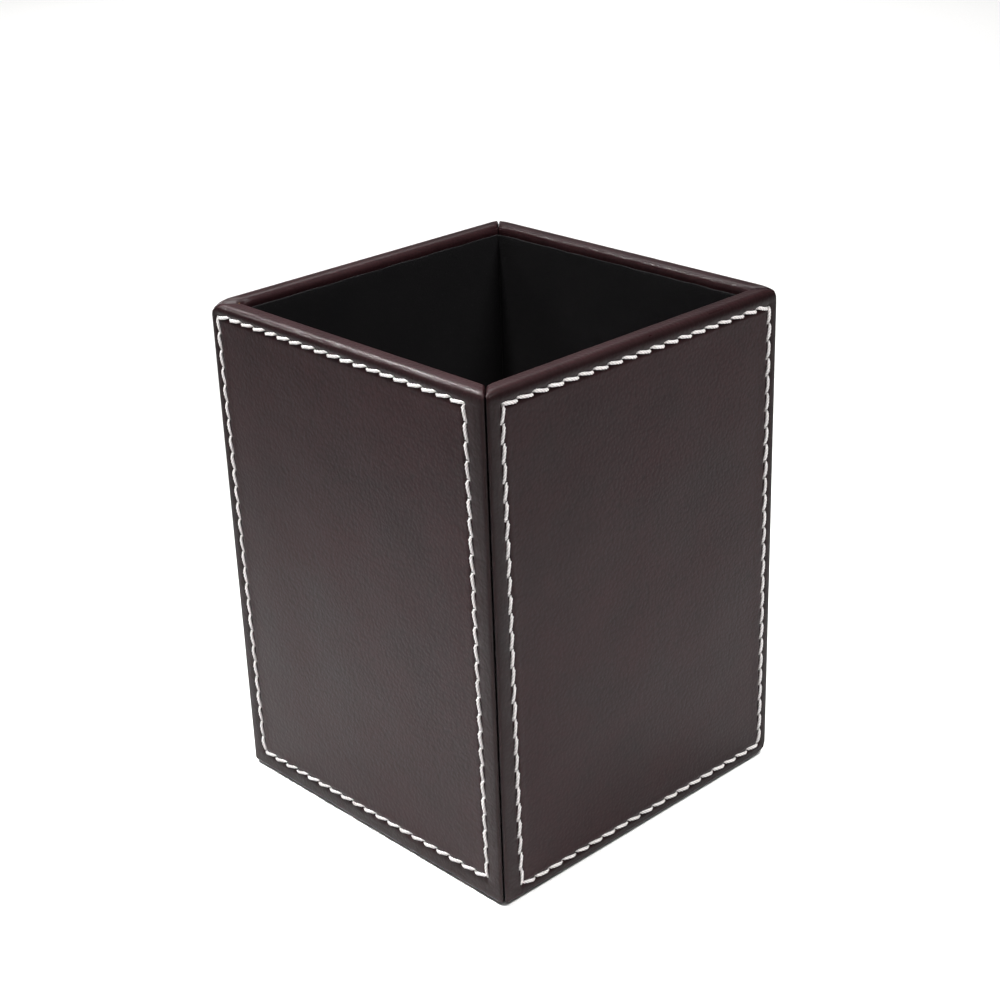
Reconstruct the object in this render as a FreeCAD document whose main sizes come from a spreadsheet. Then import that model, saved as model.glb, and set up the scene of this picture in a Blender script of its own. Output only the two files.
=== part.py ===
import FreeCAD, Part
import math
import os
import Sketcher

# A square desk cup for pens. Four walls, each a board wrapped in sewn imitation leather, are
# mitred together round a bottom board, lined with velvet and stood on a felt sheet.
#
# Frame: origin at the centre of the underside, +Z up. The front wall faces -Y, the right wall +X.
# Every wall is drawn as the front wall and turned about Z, so one set of functions makes all four.
# A depth below is a distance into the cup from the outer face of the leather.

# Driving sizes in millimetres, one cell each: (cell name, value, what it is).
SIZES = [
    ("outer_width", 83.0, "outside of the cup, leather face to leather face"),
    ("overall_height", 110.0, "from the felt's underside to the top of the rim"),
    ("leather_thickness", 0.8, "cover leather"),
    ("pad_thickness", 0.5, "soft backing under the leather"),
    ("board_thickness", 2.5, "walls and bottom"),
    ("velvet_thickness", 0.5, "lining of the walls and floor"),
    ("felt_thickness", 0.6, "sheet under the cup"),
    ("felt_inset", 2.0, "how far the felt stays inside the outer faces"),
    ("felt_corner_radius", 2.5, "corners of the felt"),
    ("lip_depth", 12.0, "how far the leather turns down inside the rim"),
    ("lining_setback", 2.0, "from the top of the rim down to the velvet's edge"),
    ("fold_radius", 0.5, "side edges of the leather, pressed tight into the mitred corners"),
    ("rim_radius", 1.2, "outer edge of the rim, the softest fold"),
    ("turn_radius", 0.8, "foot of a wall and the inner edge of the rim"),
    ("side_margin", 4.2, "from a side edge of a wall to the middle of its stitches"),
    ("end_margin", 3.2, "from the top or bottom edge to the middle of the stitches"),
    ("groove_width", 1.4, "channel that the thread is sunk in"),
    ("groove_depth", 0.35, "channel that the thread is sunk in"),
    ("thread_diameter", 0.75, "sewing thread"),
    ("stitches_across", 19, "stitches along the top or bottom of a wall"),
    ("stitches_up", 27, "stitches along a side of a wall"),
    ("stitch_gap", 0.45, "gap between one stitch and the next"),
    ("stitch_slant", 8.0, "degrees that a stitch leans from its row"),
]

# Walls, how far each is turned from the front in degrees, and which way its stitches lean.
WALLS = [("front", 0, 1), ("right", 90, -1), ("back", 180, 1), ("left", 270, -1)]

# Depths of the layers, as expressions on the sheet.
OUTER_FACE = "0"
LEATHER_BACK = "Sizes.leather_thickness"
BOARD_FRONT = "(Sizes.leather_thickness + Sizes.pad_thickness)"
BOARD_BACK = "(Sizes.leather_thickness + Sizes.pad_thickness + Sizes.board_thickness)"
RIM_BACK = "(2 * Sizes.leather_thickness + Sizes.pad_thickness + Sizes.board_thickness)"
LINING_BACK = (
    "(2 * Sizes.leather_thickness + Sizes.pad_thickness + Sizes.board_thickness"
    " + Sizes.velvet_thickness)"
)

# Heights, as expressions on the sheet.
GROUND = "0"
FELT_TOP = "Sizes.felt_thickness"
BOARD_BOTTOM = "(Sizes.felt_thickness + Sizes.leather_thickness)"
BOTTOM_BOARD_TOP = "(Sizes.felt_thickness + Sizes.leather_thickness + Sizes.board_thickness)"
FLOOR_CARD_TOP = "(Sizes.felt_thickness + 2 * Sizes.leather_thickness + Sizes.board_thickness)"
LIP_EDGE = "(Sizes.overall_height - Sizes.lip_depth)"
LINING_TOP = "(Sizes.overall_height - Sizes.lining_setback)"
BOARD_TOP = "(Sizes.overall_height - Sizes.leather_thickness)"
RIM_TOP = "Sizes.overall_height"

TOUCHING = "0"
PAST_THE_BACK = "(" + RIM_BACK + " + Sizes.board_thickness)"
TOLERANCE = 1e-4

# Rough places of sketch points in millimetres, before their constraints move them.
ROUGH_HALF = 40
ROUGH_INNER = 36
ROUGH_LOW = 10
ROUGH_HIGH = 50


def size_sheet(doc):
    """Write the driving sizes into a sheet, one named cell each."""
    sheet = doc.addObject("Spreadsheet::Sheet", "Sizes")
    for row, (name, value, note) in enumerate(SIZES, start=1):
        sheet.set("A%d" % row, name)
        sheet.set("B%d" % row, str(value))
        sheet.setAlias("B%d" % row, name)
        sheet.set("C%d" % row, note)
    doc.recompute()
    return sheet


def new_body(doc, label):
    body = doc.addObject("PartDesign::Body", label)
    body.Label = label
    return body


def origin_plane(body, role):
    for feature in body.Origin.OriginFeatures:
        if feature.Role == role:
            return feature
    raise ValueError("no origin plane " + role)


def sketch_on(body, name, role, offset):
    """A sketch on one of the body's own origin planes, moved along its normal by an expression."""
    sketch = body.newObject("Sketcher::SketchObject", name)
    sketch.AttachmentSupport = [(origin_plane(body, role), "")]
    sketch.MapMode = "FlatFace"
    sketch.setExpression("AttachmentOffset.Base.z", offset)
    return sketch


def four_lines(sketch, corners):
    """A closed outline through four corners. Returns the number of its first line."""
    points = [FreeCAD.Vector(x, y, 0) for x, y in corners]
    first = sketch.GeometryCount
    for start, end in zip(points, points[1:] + points[:1]):
        sketch.addGeometry(Part.LineSegment(start, end), False)
    for side in range(4):
        sketch.addConstraint(
            Sketcher.Constraint("Coincident", first + side, 2, first + (side + 1) % 4, 1)
        )
    return first


def bind(sketch, kind, name, first_point, second_point, value, expression):
    """A named distance between two points that follows an expression."""
    index = sketch.addConstraint(Sketcher.Constraint(kind, *first_point, *second_point, value))
    sketch.renameConstraint(index, name)
    sketch.setExpression("Constraints." + name, expression)


ORIGIN_POINT = (-1, 1)
UPRIGHT_AXIS = -2


def mitred_outline(body, name, near, far, gap, height):
    """The plan of one layer of the front wall, from depth near to depth far.

    Its ends are cut at 45 degrees, a gap away from the corner planes, so four of them close a
    square.
    """
    sketch = sketch_on(body, name, "XY_Plane", height)
    line = four_lines(sketch, [(-ROUGH_HALF, -ROUGH_HALF), (ROUGH_HALF, -ROUGH_HALF),
                               (ROUGH_INNER, -ROUGH_INNER), (-ROUGH_INNER, -ROUGH_INNER)])
    for right_end, left_end in (((line, 2), (line, 1)), ((line + 2, 1), (line + 2, 2))):
        sketch.addConstraint(Sketcher.Constraint("Symmetric", *left_end, *right_end, UPRIGHT_AXIS))
    half = "Sizes.outer_width / 2 - %s"
    end_cut = " - %s * sqrt(2)" % gap
    for edge, corner, rough, depth in (("near", (line, 2), ROUGH_HALF, near),
                                       ("far", (line + 2, 1), ROUGH_INNER, far)):
        place = half % depth
        bind(sketch, "DistanceX", edge + "_half", ORIGIN_POINT, corner, rough, place + end_cut)
        bind(sketch, "DistanceY", edge + "_place", corner, ORIGIN_POINT, rough, place)
    return sketch


def centred_rectangle(sketch, prefix, half_width, low, high):
    """A rectangle centred on the sketch's upright axis, all three sizes given as expressions."""
    line = four_lines(sketch, [(-ROUGH_HALF, ROUGH_LOW), (ROUGH_HALF, ROUGH_LOW),
                               (ROUGH_HALF, ROUGH_HIGH), (-ROUGH_HALF, ROUGH_HIGH)])
    sketch.addConstraint(Sketcher.Constraint("Symmetric", line, 1, line, 2, UPRIGHT_AXIS))
    sketch.addConstraint(Sketcher.Constraint("Vertical", line + 1))
    sketch.addConstraint(Sketcher.Constraint("Vertical", line + 3))
    sketch.addConstraint(Sketcher.Constraint("Horizontal", line + 2))
    low_corner, high_corner = (line, 2), (line + 1, 2)
    bind(sketch, "DistanceX", prefix + "_half", ORIGIN_POINT, low_corner, ROUGH_HALF, half_width)
    bind(sketch, "DistanceY", prefix + "_low", ORIGIN_POINT, low_corner, ROUGH_LOW, low)
    bind(sketch, "DistanceY", prefix + "_high", ORIGIN_POINT, high_corner, ROUGH_HIGH, high)


def pad(body, name, sketch, length):
    feature = body.newObject("PartDesign::Pad", name)
    feature.Profile = sketch
    feature.setExpression("Length", length)
    sketch.Visibility = False


def pocket(body, name, sketch, length, along_normal):
    """Cut a sketch into the body, and make sure that it did remove material."""
    body.Document.recompute()
    before = body.Shape.Volume
    feature = body.newObject("PartDesign::Pocket", name)
    feature.Profile = sketch
    feature.setExpression("Length", length)
    feature.Reversed = along_normal
    sketch.Visibility = False
    body.Document.recompute()
    if body.Shape.Volume > before - TOLERANCE:
        raise ValueError(name + " cuts nothing")


def round_edges(body, name, radius, chosen):
    """Round every edge of the body that the test chooses by the edge's bounding box."""
    body.Document.recompute()
    base = body.Tip
    names = [
        "Edge%d" % number
        for number, edge in enumerate(base.Shape.Edges, start=1)
        if chosen(edge.BoundBox)
    ]
    if not names:
        raise ValueError(name + " finds no edge")
    feature = body.newObject("PartDesign::Fillet", name)
    feature.Base = (base, names)
    feature.setExpression("Radius", radius)
    body.Document.recompute()
    if "Invalid" in feature.State:
        raise ValueError(name + " cannot be rounded")


def near(value, target):
    return abs(value - target) < TOLERANCE


def turned(feature, turn):
    """Turn a piece drawn as part of the front wall to its own wall."""
    feature.Placement = FreeCAD.Placement(
        FreeCAD.Vector(), FreeCAD.Rotation(FreeCAD.Vector(0, 0, 1), turn)
    )
    return feature


def wall_sheet(doc, label, turn, near_depth, far_depth, gap, low, high):
    """A flat layer of a wall, mitred at both ends."""
    body = new_body(doc, label)
    outline = mitred_outline(body, label + "_outline", near_depth, far_depth, gap, low)
    pad(body, label + "_pad", outline, "%s - %s" % (high, low))
    return turned(body, turn)


def leather_cover(doc, sheet, label, turn):
    """One wall's leather: a face turned round all four edges of the board and down inside the rim."""
    body = new_body(doc, label)
    wrap = mitred_outline(body, label + "_wrap", OUTER_FACE, RIM_BACK, TOUCHING, FELT_TOP)
    pad(body, label + "_block", wrap, "%s - %s" % (RIM_TOP, FELT_TOP))

    half = sheet.outer_width / 2
    rim = sheet.overall_height
    foot = sheet.felt_thickness
    rim_back = half - 2 * sheet.leather_thickness - sheet.pad_thickness - sheet.board_thickness
    round_edges(
        body, label + "_corner_folds", "Sizes.fold_radius",
        lambda box: near(box.YMin, -half) and near(box.YMax, -half) and near(box.XLength, 0),
    )
    round_edges(
        body, label + "_rim_fold", "Sizes.rim_radius",
        lambda box: box.XLength > half and near(box.YMax, -half) and near(box.ZMin, rim),
    )
    round_edges(
        body, label + "_foot_and_inner_folds", "Sizes.turn_radius",
        lambda box: box.XLength > half and (
            near(box.YMax, -half) and near(box.ZMax, foot)
            or near(box.YMin, -rim_back) and near(box.ZMin, rim)),
    )

    room = mitred_outline(
        body, label + "_room", LEATHER_BACK, BOARD_BACK, "Sizes.leather_thickness", BOARD_BOTTOM
    )
    pocket(body, label + "_board_room", room, "%s - %s" % (BOARD_TOP, BOARD_BOTTOM), True)

    back = mitred_outline(
        body, label + "_back", BOARD_BACK, PAST_THE_BACK, TOUCHING, BOARD_BOTTOM
    )
    pocket(body, label + "_open_back", back, "%s - %s" % (LIP_EDGE, BOARD_BOTTOM), True)

    groove = sketch_on(body, label + "_groove", "XZ_Plane", "Sizes.outer_width / 2")
    row_half = "Sizes.outer_width / 2 - Sizes.side_margin"
    row_low = "Sizes.felt_thickness + Sizes.end_margin"
    row_high = "Sizes.overall_height - Sizes.end_margin"
    reach = "Sizes.groove_width / 2"
    centred_rectangle(
        groove, "outer", "%s + %s" % (row_half, reach), "%s - %s" % (row_low, reach),
        "%s + %s" % (row_high, reach),
    )
    centred_rectangle(
        groove, "inner", "%s - %s" % (row_half, reach), "%s + %s" % (row_low, reach),
        "%s - %s" % (row_high, reach),
    )
    pocket(body, label + "_stitch_groove", groove, "Sizes.groove_depth", False)
    return turned(body, turn)


def stitch_row(sheet, start, end, count, lean):
    """Short lengths of thread laid end to end from start to end, each slanted the same way.

    A lean of 1 turns them anticlockwise as seen from outside, and -1 clockwise.
    """
    run = end - start
    pitch = run.Length / count
    heading = run.normalize()
    leaning = FreeCAD.Rotation(FreeCAD.Vector(0, -1, 0), lean * sheet.stitch_slant).multVec(heading)
    length = pitch - sheet.stitch_gap
    radius = sheet.thread_diameter / 2
    stitches = []
    for number in range(count):
        middle = start + heading * ((number + 0.5) * pitch)
        stitch = Part.makeCylinder(radius, length, middle - leaning * (length / 2), leaning)
        ends = [edge for edge in stitch.Edges if edge.Closed and edge.Curve.TypeId == "Part::GeomCircle"]
        stitches.append(stitch.makeChamfer(radius / 2, ends))
    return stitches


def stitching(doc, sheet, label, turn, lean):
    """The stitches of one wall: a closed rectangle of separate short threads in the groove."""
    half = sheet.outer_width / 2 - sheet.side_margin
    low = sheet.felt_thickness + sheet.end_margin
    high = sheet.overall_height - sheet.end_margin
    level = -sheet.outer_width / 2 + sheet.groove_depth - sheet.thread_diameter / 2
    corners = [FreeCAD.Vector(x, level, z)
               for x, z in ((-half, low), (half, low), (half, high), (-half, high))]
    counts = [sheet.stitches_across, sheet.stitches_up] * 2
    stitches = []
    for start, end, count in zip(corners, corners[1:] + corners[:1], counts):
        stitches.extend(stitch_row(sheet, start, end, int(count), lean))
    feature = doc.addObject("Part::Feature", label)
    feature.Label = label
    feature.Shape = Part.makeCompound(stitches)
    return turned(feature, turn)


def level_sheet(doc, label, inset, low, high):
    """A square sheet lying level inside the walls, its edges at the given depth."""
    body = new_body(doc, label)
    outline = sketch_on(body, label + "_outline", "XY_Plane", low)
    line = four_lines(outline, [(-ROUGH_HALF, -ROUGH_HALF), (ROUGH_HALF, -ROUGH_HALF),
                                (ROUGH_HALF, ROUGH_HALF), (-ROUGH_HALF, ROUGH_HALF)])
    for side, kind in enumerate(("Horizontal", "Vertical", "Horizontal", "Vertical")):
        outline.addConstraint(Sketcher.Constraint(kind, line + side))
    half = "Sizes.outer_width / 2 - %s" % inset
    front_right, back_left = (line, 2), (line + 2, 2)
    for kind, edge, first, second in (("DistanceX", "right", ORIGIN_POINT, front_right),
                                      ("DistanceY", "front", front_right, ORIGIN_POINT),
                                      ("DistanceX", "left", back_left, ORIGIN_POINT),
                                      ("DistanceY", "back", ORIGIN_POINT, back_left)):
        bind(outline, kind, edge, first, second, ROUGH_HALF, half)
    pad(body, label + "_pad", outline, "%s - %s" % (high, low))
    return body


def wall(doc, sheet, side, turn, lean):
    """Every piece of one wall, from the outside in."""
    flange = "Sizes.leather_thickness"
    return [
        leather_cover(doc, sheet, side + "_leather_cover", turn),
        stitching(doc, sheet, side + "_stitching", turn, lean),
        wall_sheet(doc, side + "_backing_pad", turn, LEATHER_BACK, BOARD_FRONT, flange,
                   BOARD_BOTTOM, BOARD_TOP),
        wall_sheet(doc, side + "_wall_board", turn, BOARD_FRONT, BOARD_BACK, flange,
                   BOARD_BOTTOM, BOARD_TOP),
        wall_sheet(doc, side + "_levelling_card", turn, BOARD_BACK, RIM_BACK, TOUCHING,
                   BOTTOM_BOARD_TOP, LIP_EDGE),
        wall_sheet(doc, side + "_wall_lining", turn, RIM_BACK, LINING_BACK, TOUCHING,
                   FLOOR_CARD_TOP, LINING_TOP),
    ]


def floor_and_base(doc):
    """The pieces that close the cup's bottom, from the top down."""
    felt = level_sheet(doc, "base_felt", "Sizes.felt_inset", GROUND, FELT_TOP)
    round_edges(
        felt, "base_felt_corners", "Sizes.felt_corner_radius",
        lambda box: near(box.XLength, 0) and near(box.YLength, 0),
    )
    velvet_top = "(%s + Sizes.velvet_thickness)" % FLOOR_CARD_TOP
    return [
        level_sheet(doc, "floor_lining", LINING_BACK, FLOOR_CARD_TOP, velvet_top),
        level_sheet(doc, "floor_card", RIM_BACK, BOTTOM_BOARD_TOP, FLOOR_CARD_TOP),
        level_sheet(doc, "bottom_board", BOARD_BACK, BOARD_BOTTOM, BOTTOM_BOARD_TOP),
        level_sheet(doc, "base_card", RIM_BACK, FELT_TOP, BOARD_BOTTOM),
        felt,
    ]


def check(doc, pieces):
    """Stop if any feature failed or any piece is empty or broken."""
    for feature in doc.Objects:
        if "Invalid" in feature.State or "Error" in feature.State:
            raise ValueError("%s failed: %s" % (feature.Label, feature.State))
    for piece in pieces:
        if piece.Shape.isNull() or not piece.Shape.isValid():
            raise ValueError(piece.Label + " has no valid shape")


def export(pieces):
    os.makedirs("parts", exist_ok=True)
    for piece in pieces:
        box = piece.Shape.BoundBox
        print("%-24s %2d solids  %8.1f mm3  %5.1f x %5.1f x %5.1f mm" % (
            piece.Label, len(piece.Shape.Solids), piece.Shape.Volume,
            box.XLength, box.YLength, box.ZLength))
        piece.Shape.exportStep("parts/%s.step" % piece.Label)


doc = FreeCAD.newDocument("pen_cup")
sheet = size_sheet(doc)
pieces = []
for side, turn, lean in WALLS:
    pieces.extend(wall(doc, sheet, side, turn, lean))
pieces.extend(floor_and_base(doc))
doc.recompute()
check(doc, pieces)
export(pieces)
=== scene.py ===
# %% [markdown]
# # A stitched leather pen cup
#
# The cup is a square box with no lid. Each of its four walls is a board wrapped in one sheet of smooth
# imitation leather, sewn round its edge with thick pale thread. The four wrapped walls are glued
# together at mitred corners, so a fine dark seam runs down every corner. Inside is black velvet, and
# underneath is a sheet of felt.
#
# The frame already holds every piece at its true size and place, so this file only gives the pieces
# their looks.

# %% Load the frame
import math

import bpy
import numpy as np
from mathutils import Matrix, Vector


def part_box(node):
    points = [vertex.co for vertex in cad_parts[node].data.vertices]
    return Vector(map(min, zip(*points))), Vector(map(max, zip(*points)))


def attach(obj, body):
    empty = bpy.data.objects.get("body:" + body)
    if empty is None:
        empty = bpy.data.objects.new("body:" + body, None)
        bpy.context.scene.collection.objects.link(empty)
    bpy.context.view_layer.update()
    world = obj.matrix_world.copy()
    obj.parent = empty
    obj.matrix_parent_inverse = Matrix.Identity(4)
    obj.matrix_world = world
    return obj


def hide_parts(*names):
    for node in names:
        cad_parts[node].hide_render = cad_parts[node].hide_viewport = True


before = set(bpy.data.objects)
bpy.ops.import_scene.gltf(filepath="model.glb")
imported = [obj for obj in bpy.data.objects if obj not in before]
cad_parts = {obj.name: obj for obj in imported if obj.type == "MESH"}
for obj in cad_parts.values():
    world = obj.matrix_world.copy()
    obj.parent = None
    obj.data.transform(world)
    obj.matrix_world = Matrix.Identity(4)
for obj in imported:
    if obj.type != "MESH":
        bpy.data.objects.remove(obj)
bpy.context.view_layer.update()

# %% [markdown]
# ## Sizes
#
# Blender works in metres and leather goods are measured in millimetres, so MM turns one into the other.
# The size and place of each wall are read from the frame. All four walls are alike, so every shape
# is worked out once for the front wall and then turned about the upright axis.

# %% Sizes and walls
MM = 0.001
WALLS = {"front": 0, "right": 90, "back": 180, "left": 270}

cover_low, cover_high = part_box("front_leather_cover")
HALF = -cover_low.y
RIM_DEPTH = cover_high.y - cover_low.y
FOOT = cover_low.z
RIM = cover_high.z
MIDDLE = (FOOT + RIM) / 2

# Middle of the thread to a wall's side edge, and to its top or bottom edge.
SIDE_MARGIN = 4.2 * MM
END_MARGIN = 3.2 * MM
ROW_HALF = HALF - SIDE_MARGIN
ROW_LOW = FOOT + END_MARGIN
ROW_HIGH = RIM - END_MARGIN
STITCHES_ACROSS = 19
STITCHES_UP = 27
THREAD = 0.75 * MM


def turn_of(wall):
    """The turn that takes the front wall to this wall."""
    return Matrix.Rotation(math.radians(WALLS[wall]), 4, "Z")


print("walls:", round(2 * HALF / MM, 1), "mm wide,", round((RIM - FOOT) / MM, 1), "mm tall")

# %% [markdown]
# ## Helpers for materials and node trees
#
# Colours are picked as sRGB hex, the way a paint or web colour is written, and Blender's shaders want
# linear light, so one function converts them. Another adds a node with its settings and
# what feeds its sockets, because every node tree below is a list of such steps.

# %% Colour and node helpers
def colour(hex_code):
    """sRGB hex to linear RGBA."""
    parts = [int(hex_code[i:i + 2], 16) / 255 for i in (1, 3, 5)]
    linear = [c / 12.92 if c <= 0.04045 else ((c + 0.055) / 1.055) ** 2.4 for c in parts]
    return (*linear, 1.0)


def feed(tree, node, feeds):
    """Give sockets, by name or number, a plain value or what feeds them: a socket, or a node's first."""
    for name, value in feeds.items():
        if isinstance(value, bpy.types.Node):
            value = value.outputs[0]
        if isinstance(value, bpy.types.NodeSocket):
            tree.links.new(value, node.inputs[name])
        else:
            node.inputs[name].default_value = value


def add(tree, kind, feeds=None, **settings):
    """Add a node with its settings, and feed its sockets."""
    node = tree.nodes.new(kind)
    for name, value in settings.items():
        setattr(node, name, value)
    feed(tree, node, feeds or {})
    return node


def new_material(name):
    """An empty node material, its Principled shader and its Object coordinates."""
    material = bpy.data.materials.new(name)
    material.use_nodes = True
    tree = material.node_tree
    tree.nodes.clear()
    shader = add(tree, "ShaderNodeBsdfPrincipled")
    add(tree, "ShaderNodeOutputMaterial", {"Surface": shader.outputs["BSDF"]})
    place = add(tree, "ShaderNodeTexCoord").outputs["Object"]
    return material, tree, shader, place


print("dark brown in linear light:", [round(c, 4) for c in colour("#2a1f1f")])

# %% [markdown]
# ## Imitation leather
#
# The cover is polyurethane on a woven backing, embossed with a very fine pebble grain and left
# semi-glossy. The eye sees three things: the grain, which breaks up the gloss; a slow cloudiness
# where the sheet was rubbed and glued; and the folds, where the skin is stretched and looks a little
# lighter and shinier. The margin outside the seam is painted darker, as painted shade.
#
# The grain is a Voronoi pattern. Its cells are 0.7 mm wide, about twice as wide as usual pebbles, which
# are too fine to show in the render. Three values come with the mesh as attributes: "fold"
# is 1 on the folded edges, "margin" is 1 outside the seam, where shade is painted, and "dark" is 1
# in the needle holes and down between two walls, where the painted shade is near-black.

# %% Colours of the leather
GRAIN = 0.7 * MM
CLOUD = 16 * MM


def leather_colour(tree, cloud, pebble):
    """Dark brown, cloudy, darker between the pebbles, lighter where folded; painted shade at the margins,
    holes and mitres.
    """
    colours = add(tree, "ShaderNodeMix", {"Factor": cloud, "A": colour("#1c0d0f"),
                                          "B": colour("#251214")}, data_type="RGBA")
    valley = add(tree, "ShaderNodeMapRange", {"Value": pebble, "From Min": 0.3, "From Max": 0.9,
                                              "To Min": 0.0, "To Max": 0.5})
    steps = [(valley, 1.0, "#0f0708")]
    # The "margin" and "dark" steps are painted shade; the "fold" step is the stretched skin's lighter
    # tone.
    for name, amount, hex_code in (("margin", 0.5, "#0e0808"), ("fold", 0.1, "#3a2425"),
                                   ("dark", 1.0, "#050303")):
        value = add(tree, "ShaderNodeAttribute", attribute_name=name).outputs["Fac"]
        steps.append((value, amount, hex_code))
    for value, amount, hex_code in steps:
        share = add(tree, "ShaderNodeMath", {0: value, 1: amount}, operation="MULTIPLY")
        colours = add(tree, "ShaderNodeMix", {"Factor": share, "B": colour(hex_code),
                                              "A": colours.outputs["Result"]}, data_type="RGBA")
    return colours.outputs["Result"]


print("the grain's cells are", GRAIN / MM, "mm wide")

# %% [markdown]
# ### Gloss and grain
#
# The gloss follows the cloudiness and is sharper on the folds. The bump is made of the pebbles and the
# finer pores between them.

# %% Material: embossed polyurethane leather
def leather_material():
    material, tree, shader, place = new_material("embossed_polyurethane_leather")
    warp = add(tree, "ShaderNodeTexNoise", {"Vector": place, "Scale": 1 / (3 * GRAIN), "Detail": 2.0})
    bent = add(tree, "ShaderNodeVectorMath",
               {0: warp.outputs["Color"], 1: (0.5 * GRAIN,) * 3, 2: place}, operation="MULTIPLY_ADD")
    pebble = add(tree, "ShaderNodeTexVoronoi", {"Vector": bent, "Scale": 1 / GRAIN},
                 feature="SMOOTH_F1").outputs["Distance"]
    pore = add(tree, "ShaderNodeTexNoise",
               {"Vector": place, "Scale": 1 / (0.4 * GRAIN), "Detail": 3.0, "Roughness": 0.6})
    noise = add(tree, "ShaderNodeTexNoise",
                {"Vector": place, "Scale": 1 / CLOUD, "Detail": 4.0, "Roughness": 0.55})
    cloud = add(tree, "ShaderNodeMapRange", {"Value": noise.outputs["Fac"], "From Min": 0.3,
                                             "From Max": 0.7}).outputs[0]

    gloss = add(tree, "ShaderNodeMapRange", {"Value": cloud, "To Min": 0.34, "To Max": 0.44})
    fold = add(tree, "ShaderNodeAttribute", attribute_name="fold").outputs["Fac"]
    sharper = add(tree, "ShaderNodeMath", {0: fold, 1: -0.1, 2: gloss},
                  operation="MULTIPLY_ADD")
    stretched = add(tree, "ShaderNodeMapRange", {"Value": fold, "To Min": 0.7, "To Max": 0.6})

    relief = add(tree, "ShaderNodeMath", {0: pore.outputs["Fac"], 1: 0.35, 2: pebble},
                 operation="MULTIPLY_ADD")
    bump = add(tree, "ShaderNodeBump", {"Strength": stretched, "Distance": 0.08 * MM,
                                        "Height": relief}, invert=True)
    feed(tree, shader, {"Base Color": leather_colour(tree, cloud, pebble), "Roughness": sharper,
                        "Normal": bump, "IOR": 1.5, "Specular IOR Level": 0.115})
    return material


LEATHER = leather_material()
print("material:", LEATHER.name, "with", len(LEATHER.node_tree.nodes), "nodes")

# %% [markdown]
# ## The leather sheet: where its points lie
#
# A cover is one sheet that turns round all four edges of its board. It can be made like a
# wrapped parcel: start with the sharp-edged block that the wrapped board fills, lay a grid of points
# over its faces, and then round it. The grid lines are close together at the folds, along the seam and
# beside every needle hole, and far apart where the leather is flat, so the detail costs few faces.

# %% Grid lines over a wall
FOLD_STEPS = [0, 0.12, 0.26, 0.42, 0.6, 0.8, 1.02, 1.28, 1.6, 2.0]
SEAM_STEPS = [-0.9, -0.6, -0.36, -0.12, 0.12, 0.36, 0.6, 0.9]
HOLE_STEPS = [-0.4, -0.13, 0.13, 0.4, 1.2, 2.65]
FIRST_STITCH_STEPS = [1.3, 1.9, 2.65]


def lines_along(low, high, row_low, row_high, stitches):
    """Where grid lines cross one direction of a wall, from edge to edge."""
    pitch = (row_high - row_low) / stitches
    lines = [low + step * MM for step in FOLD_STEPS] + [high - step * MM for step in FOLD_STEPS]
    for row in (row_low, row_high):
        lines += [row + step * MM for step in SEAM_STEPS]
    for number in range(1, stitches):
        hole = row_low + number * pitch
        lines += [hole + step * MM for step in HOLE_STEPS if hole + step * MM < row_high - MM]
    lines += [row_low + step * MM for step in FIRST_STITCH_STEPS]
    return np.array(sorted(lines))


ACROSS = lines_along(-HALF, HALF, -ROW_HALF, ROW_HALF, STITCHES_ACROSS)
UP = lines_along(FOOT, RIM, ROW_LOW, ROW_HIGH, STITCHES_UP)
RIM_STEPS = [0, 0.07, 0.15, 0.24, 0.34, 0.45, 0.6, 0.9, 1.4]
INWARD = np.array(sorted([step * MM for step in RIM_STEPS] + [RIM_DEPTH - step * MM for step in RIM_STEPS]
                         + [RIM_DEPTH / 2]))
print("grid:", len(ACROSS), "lines across,", len(UP), "up,", len(INWARD), "over the rim")

# %% [markdown]
# ### The skin over the grid
#
# Points on the block's surface are named by the numbers of the three lines they lie on, so two faces
# that meet share their points and the sheet has no open seams.

# %% Points and faces of a cover
def block_skin(across, inward, up, lip_line=None):
    """The grid over a block: for each point its line numbers, and the four-sided faces.

    With a lip line the back is left open below it.
    """
    numbers = {}
    faces = []

    def point(i, j, k):
        return numbers.setdefault((i, j, k), len(numbers))

    def patch(lines_a, lines_b, place, flip):
        for a in lines_a[:-1]:
            for b in lines_b[:-1]:
                ring = [point(*place(a, b)), point(*place(a + 1, b)),
                        point(*place(a + 1, b + 1)), point(*place(a, b + 1))]
                faces.append(ring[::-1] if flip else ring)

    last_i, last_j, last_k = across - 1, inward - 1, up - 1
    patch(range(across), range(up), lambda i, k: (i, 0, k), False)
    patch(range(across), range(lip_line or 0, up), lambda i, k: (i, last_j, k), True)
    patch(range(inward), range(up), lambda j, k: (last_i, j, k), False)
    patch(range(inward), range(up), lambda j, k: (0, j, k), True)
    patch(range(across), range(inward), lambda i, j: (i, j, last_k), False)
    patch(range(across), range(inward), lambda i, j: (i, j, 0), True)
    return np.array(list(numbers)), faces


LIP_LENGTH = 12 * MM
lip_line = int(np.searchsorted(UP, RIM - LIP_LENGTH))
COVER_LINES, COVER_FACES = block_skin(len(ACROSS), len(INWARD), len(UP), lip_line)
print("cover:", len(COVER_LINES), "points,", len(COVER_FACES), "faces")

# %% [markdown]
# ## The leather sheet: rounding the block
#
# To round a block by a radius, shrink it by that radius, and push every point out again from the
# nearest point of the shrunk block. Flat faces come back to where they were, edges become
# quarter-round folds and corners become smooth. The upright edges are pressed tight into the mitre,
# so their fold is small, while the rim is soft and round: near the top the whole section is
# squeezed towards its middle. The same step gives the direction that points out of the leather,
# which the relief uses next.

# %% Radii, and the nearest place in an outline
FOLD_RADIUS = 0.5 * MM
FOOT_RADIUS = 0.8 * MM
RIM_RADIUS = 1.7 * MM
RIM_REACH = 1.7 * MM
SEAM_GAP = 0.03 * MM


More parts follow.
